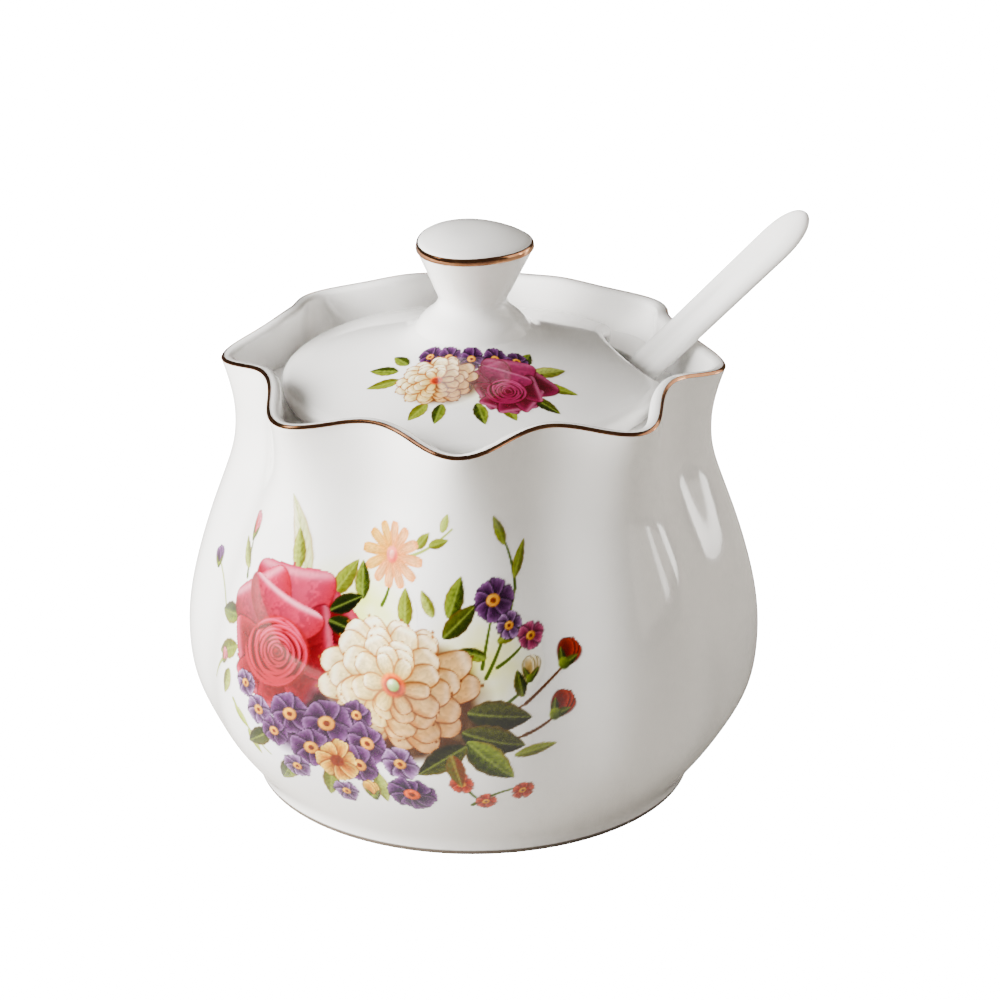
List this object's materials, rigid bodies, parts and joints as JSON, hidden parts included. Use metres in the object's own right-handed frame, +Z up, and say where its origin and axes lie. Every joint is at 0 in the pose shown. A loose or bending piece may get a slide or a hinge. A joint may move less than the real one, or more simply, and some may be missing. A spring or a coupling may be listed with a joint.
{
  "type": "sugar bowl",
  "caption": "Lobed porcelain sugar bowl with a waved gilt rim, a domed lid notched for a standing spoon, and floral prints.",
  "frame": {"origin": "centre of the foot ring, on the surface the bowl stands on", "axes": "+Z up, -Y to the side with the large floral print, +X towards the side where the spoon leans out"},
  "size_m": [0.13, 0.1204, 0.1202],
  "materials": {
    "bowl_glaze": "white porcelain under a clear glaze, with a printed spray of flowers",
    "lid_glaze": "white porcelain under a clear glaze, with a small printed spray of flowers",
    "spoon_glaze": "white porcelain under a clear glaze",
    "gilding": "fired gold line, burnished and a little worn"
  },
  "bodies": {
    "bowl": {"bowl_body": "bowl_glaze", "rim_gilding": "gilding"},
    "lid": {"lid_shell": "lid_glaze", "lid_knob": "lid_glaze", "knob_gilding": "gilding"},
    "spoon": {"spoon": "spoon_glaze"}
  },
  "joints": [
    {"name": "lid_lift", "type": "slide", "parent": "bowl", "child": "lid", "axis": [0, 0, 1], "range_m": [0, 0.08]},
    {"name": "spoon_draw", "type": "slide", "parent": "bowl", "child": "spoon", "axis": [0.7123, 0.1001, 0.6947], "range_m": [0, 0.055]}
  ]
}
